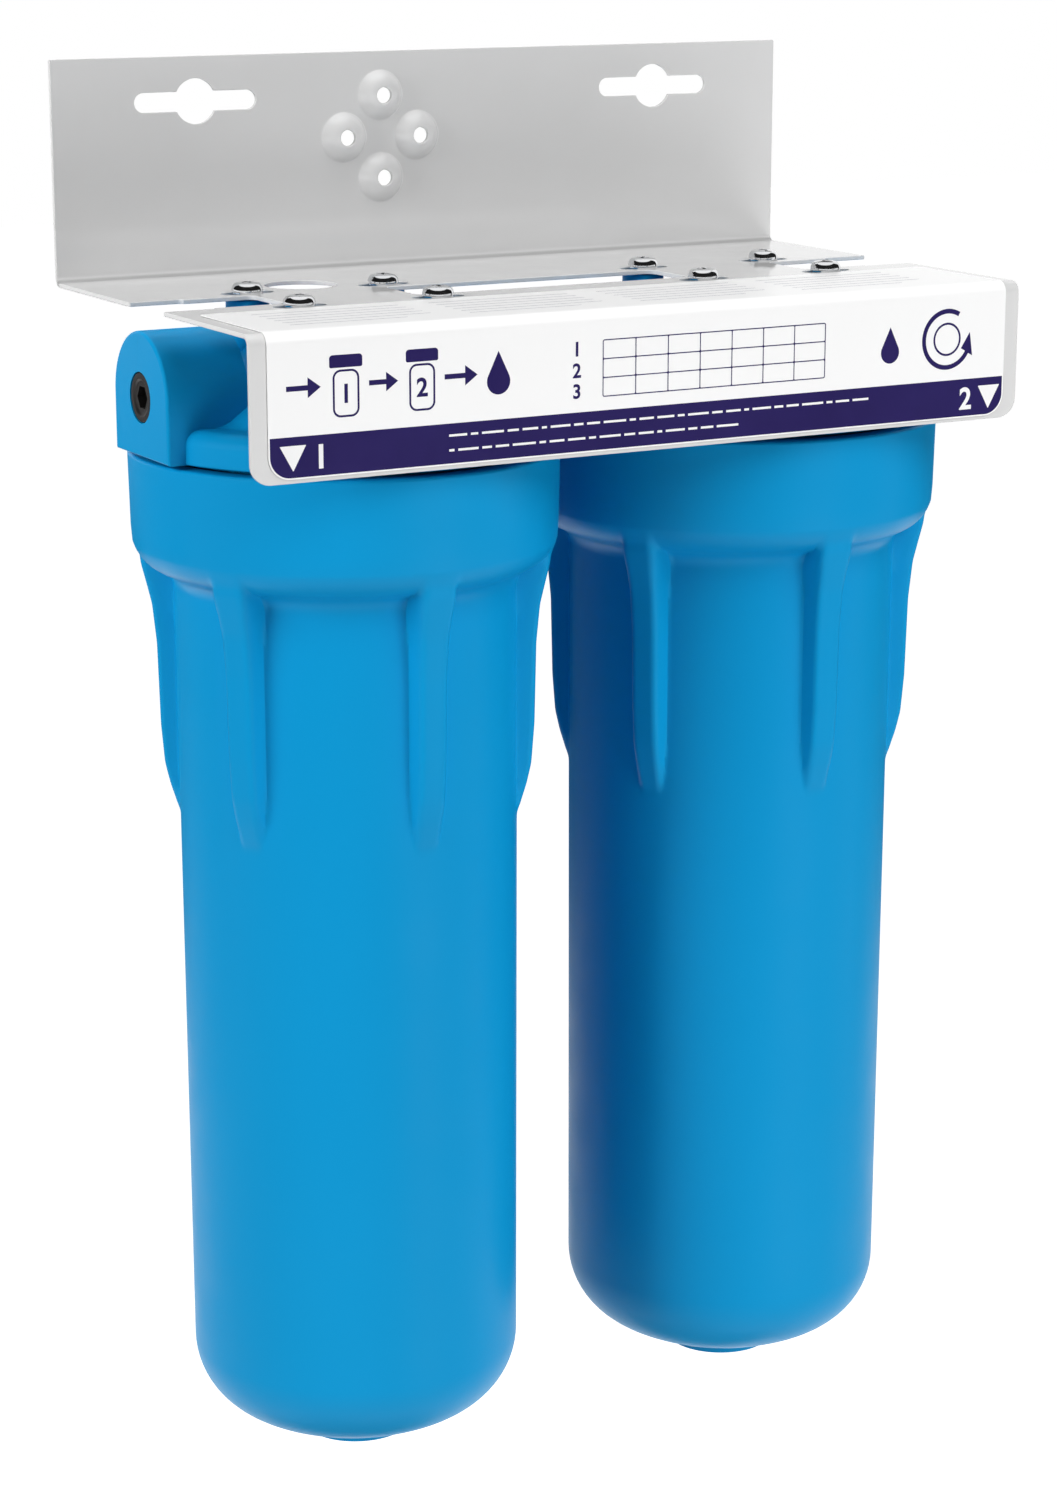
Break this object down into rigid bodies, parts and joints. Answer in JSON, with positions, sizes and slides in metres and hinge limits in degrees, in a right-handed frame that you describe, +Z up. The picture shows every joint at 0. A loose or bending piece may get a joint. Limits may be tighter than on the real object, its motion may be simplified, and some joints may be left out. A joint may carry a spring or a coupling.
{
  "type": "under sink water filter",
  "caption": "Two-stage under-sink water filter: blue ribbed sumps screwed into ported caps, hung side by side under a bent steel wall bracket with keyholes and a labelled apron.",
  "frame": {"origin": "on the wall face of the bracket's rear plate, midway between the two keyholes", "axes": "+Y into the wall, -Y towards the user, +X to the user's right along the bracket, +Z up along the housings"},
  "size_m": [0.2431, 0.1276, 0.388],
  "materials": {
    "bracket_paint": "glossy light grey powder coat",
    "label_film": "white printed film with a navy band",
    "housing_plastic": "semi-gloss moulded blue",
    "seal_rubber": "matte black",
    "screw_chrome": "bright plated",
    "plug_plastic": "satin black",
    "cartridge_plastic": "satin white",
    "spun_fibre": "soft spun fibre",
    "pressed_carbon": "dull grainy black",
    "wrap_mesh": "white net over felt",
    "button_plastic": "glossy red",
    "spring_steel": "drawn stainless wire"
  },
  "bodies": {
    "housing": {"mounting_bracket": "bracket_paint", "front_label": "label_film", "left_cap": "housing_plastic", "right_cap": "housing_plastic", "left_screw_1": "screw_chrome", "left_screw_2": "screw_chrome", "left_screw_3": "screw_chrome", "left_screw_4": "screw_chrome", "right_screw_1": "screw_chrome", "right_screw_2": "screw_chrome", "right_screw_3": "screw_chrome", "right_screw_4": "screw_chrome", "inlet_plug": "plug_plastic", "outlet_plug": "plug_plastic", "joining_nipple": "plug_plastic", "left_seal_ring": "seal_rubber", "right_seal_ring": "seal_rubber", "relief_spring": "spring_steel"},
    "sediment_cartridge": {"sediment_core": "cartridge_plastic", "sediment_filter": "spun_fibre"},
    "left_sump": {"left_sump": "housing_plastic"},
    "carbon_cartridge": {"carbon_block": "pressed_carbon", "carbon_wrap": "wrap_mesh", "carbon_upper_cap": "cartridge_plastic", "carbon_lower_cap": "cartridge_plastic", "carbon_upper_gasket": "seal_rubber", "carbon_lower_gasket": "seal_rubber"},
    "right_sump": {"right_sump": "housing_plastic"},
    "relief_valve": {"relief_button": "button_plastic", "relief_seal": "seal_rubber"}
  },
  "joints": [
    {"name": "left_sump_drop", "type": "slide", "parent": "housing", "child": "sediment_cartridge", "axis": [0, 0, -1], "range_m": [0, 0.018]},
    {"name": "left_sump_turn", "type": "hinge", "parent": "sediment_cartridge", "child": "left_sump", "pos_m": [-0.06035, -0.0636, -0.1], "axis": [0, 0, -1], "range_deg": [0, 1080]},
    {"name": "right_sump_drop", "type": "slide", "parent": "housing", "child": "carbon_cartridge", "axis": [0, 0, -1], "range_m": [0, 0.018]},
    {"name": "right_sump_turn", "type": "hinge", "parent": "carbon_cartridge", "child": "right_sump", "pos_m": [0.06415, -0.0636, -0.1], "axis": [0, 0, -1], "range_deg": [0, 1080]},
    {"name": "relief_press", "type": "slide", "parent": "housing", "child": "relief_valve", "axis": [0, 0, -1], "range_m": [0, 0.0016], "stiffness_N_per_m": 1500, "springref_m": -0.002, "deforming": ["relief_spring"]}
  ],
  "couplings": [
    {"joint": "left_sump_drop", "follows": "left_sump_turn", "m_per_rad": 0.00095492},
    {"joint": "right_sump_drop", "follows": "right_sump_turn", "m_per_rad": 0.00095492}
  ]
}
